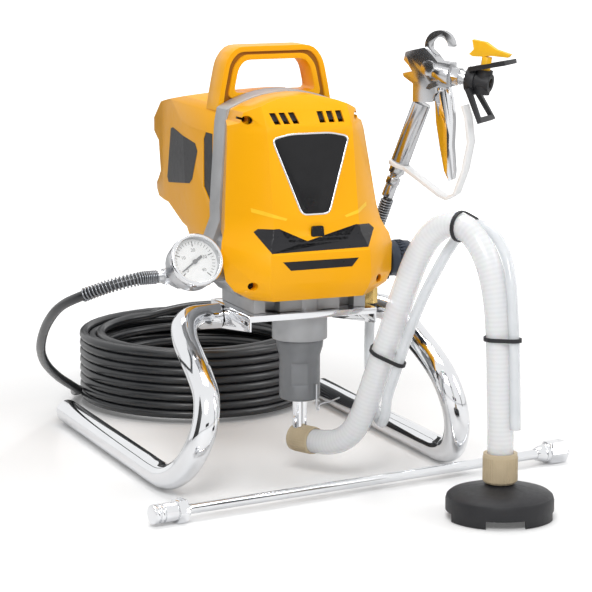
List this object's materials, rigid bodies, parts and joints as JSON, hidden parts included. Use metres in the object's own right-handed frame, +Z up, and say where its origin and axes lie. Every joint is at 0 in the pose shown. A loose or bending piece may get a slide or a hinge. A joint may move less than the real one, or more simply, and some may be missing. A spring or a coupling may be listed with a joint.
{
  "type": "airless paint sprayer",
  "caption": "Portable airless piston paint sprayer on a tube stand, with suction hose and strainer, coiled paint hose, spray gun and extension lance.",
  "frame": {"origin": "on the floor, under the middle of everything but the hoses", "axes": "+X to the right for someone facing the badge, +Y to the back, +Z up"},
  "size_m": [0.4934, 0.751, 0.4281],
  "materials": {
    "yellow_cover": "smooth injection-moulded, light sheen",
    "black_plastic": "fine moulded texture",
    "gloss_black": "polished panel",
    "cast_housing": "blasted light metal casting, satin grey",
    "chrome": "bright plated",
    "steel": "turned and milled, satin",
    "brass": "turned, bright",
    "paint_hose": "smooth black hose jacket",
    "clear_hose": "translucent, ribbed",
    "beige_plastic": "moulded coupling",
    "orange_plastic": "moulded tip handle",
    "white_plastic": "moulded guard",
    "clear_lens": "clear window"
  },
  "bodies": {
    "machine": {"front_cover": "yellow_cover", "rear_cover": "yellow_cover", "carry_handle": "yellow_cover", "right_vent_panel": "black_plastic", "left_vent_panel": "black_plastic", "vent_baffle": "black_plastic", "cable_gland": "black_plastic", "return_nut": "black_plastic", "motor": "black_plastic", "cable_tie_lower": "black_plastic", "cable_tie_top": "black_plastic", "cable_tie_right": "black_plastic", "strainer_foot": "black_plastic", "hose_clip": "black_plastic", "cover_screw_top_left": "black_plastic", "cover_screw_top_right": "black_plastic", "cover_screw_bottom_left": "black_plastic", "cover_screw_bottom_right": "black_plastic", "badge_panel": "gloss_black", "oiler_plug": "gloss_black", "drive_housing": "cast_housing", "pump_throat": "cast_housing", "pump_body": "cast_housing", "outlet_manifold": "cast_housing", "base_plate": "chrome", "left_leg": "chrome", "right_leg": "chrome", "inlet_pipe": "chrome", "gauge_bezel": "chrome", "gun_body": "chrome", "gauge_case": "steel", "left_leg_bolt": "steel", "right_leg_bolt": "steel", "hairpin_clip": "steel", "lead_spring": "steel", "gun_spring": "steel", "return_fitting": "brass", "hose_lead": "paint_hose", "hose_coil": "paint_hose", "hose_riser": "paint_hose", "suction_hose": "clear_hose", "return_tube": "clear_hose", "inlet_coupling": "beige_plastic", "gun_guard": "white_plastic", "gauge_lens": "clear_lens"},
    "knob": {"pressure_knob": "black_plastic"},
    "switch_lever": {"power_switch": "black_plastic"},
    "needle": {"gauge_needle": "black_plastic"},
    "rotor": {"motor_rotor": "steel"},
    "crank": {"crank_gear": "steel"},
    "piston": {"piston_rod": "steel"},
    "trigger": {"gun_trigger": "chrome"},
    "trigger_lock": {"gun_lock": "steel"},
    "tip_guard_body": {"tip_guard": "black_plastic"},
    "tip": {"spray_tip": "orange_plastic"},
    "swivel": {"gun_swivel": "steel"},
    "outlet_coupling_nut": {"outlet_nut": "steel"},
    "foot_coupling_nut": {"foot_nut": "beige_plastic"},
    "lance": {"lance_tube": "chrome"},
    "lance_coupling_nut": {"lance_nut": "chrome"}
  },
  "joints": [
    {"name": "pressure_knob_turn", "type": "hinge", "parent": "machine", "child": "knob", "pos_m": [0.06972, -0.01353, 0.208], "axis": [1, 0, 0], "range_deg": [0, 270]},
    {"name": "power_switch_flip", "type": "hinge", "parent": "machine", "child": "switch_lever", "pos_m": [0.04272, -0.02053, 0.192], "axis": [0, 1, 0], "range_deg": [-12, 12]},
    {"name": "gauge_needle_swing", "type": "hinge", "parent": "machine", "child": "needle", "pos_m": [-0.14528, -0.03553, 0.2225], "axis": [0, 0.9063, -0.4226], "range_deg": [0, 270], "stiffness_Nm_per_rad": 0.0005},
    {"name": "crank_spin", "type": "hinge", "parent": "machine", "child": "crank", "pos_m": [-0.03028, 0.01247, 0.262], "axis": [0, 1, 0], "continuous": true},
    {"name": "motor_spin", "type": "hinge", "parent": "machine", "child": "rotor", "pos_m": [-0.03028, 0.09247, 0.3], "axis": [0, 1, 0], "continuous": true},
    {"name": "piston_stroke", "type": "slide", "parent": "machine", "child": "piston", "axis": [0, 0, 1], "range_m": [-0.006, 0.006]},
    {"name": "gun_swivel_turn", "type": "hinge", "parent": "machine", "child": "swivel", "pos_m": [0.09223, 0.04271, 0.27673], "axis": [0.2444, -0.2621, 0.9336], "continuous": true},
    {"name": "gun_trigger_pull", "type": "hinge", "parent": "machine", "child": "trigger", "pos_m": [0.12781, 0.00456, 0.3704], "axis": [0.7314, 0.682, 0], "range_deg": [0, 12], "stiffness_Nm_per_rad": 2, "springref_deg": -17.19},
    {"name": "gun_lock_turn", "type": "hinge", "parent": "machine", "child": "trigger_lock", "pos_m": [0.1126, 0.00473, 0.3729], "axis": [0.7314, 0.682, 0], "range_deg": [0, 90]},
    {"name": "tip_guard_turn", "type": "hinge", "parent": "machine", "child": "tip_guard_body", "pos_m": [0.13122, 0.0009, 0.3849], "axis": [0.6736, -0.7223, -0.1564], "range_deg": [-90, 90]},
    {"name": "spray_tip_turn", "type": "hinge", "parent": "tip_guard_body", "child": "tip", "pos_m": [0.15681, -0.02655, 0.37896], "axis": [0.1067, -0.1144, 0.9877], "range_deg": [0, 180]},
    {"name": "outlet_nut_turn", "type": "hinge", "parent": "machine", "child": "outlet_coupling_nut", "pos_m": [-0.16528, 0.00047, 0.202], "axis": [1, 0, 0], "continuous": true},
    {"name": "foot_nut_turn", "type": "hinge", "parent": "machine", "child": "foot_coupling_nut", "pos_m": [0.07672, -0.23453, 0.045], "axis": [0, 0, 1], "continuous": true},
    {"name": "lance_away", "type": "slide", "parent": "machine", "child": "lance", "axis": [0, -1, 0], "range_m": [0, 0.06]},
    {"name": "lance_nut_turn", "type": "hinge", "parent": "lance", "child": "lance_coupling_nut", "pos_m": [0.22113, -0.06703, 0.0107], "axis": [0.9841, 0.1778, 0], "continuous": true}
  ],
  "couplings": [
    {"joint": "motor_spin", "follows": "crank_spin", "ratio": -4}
  ]
}
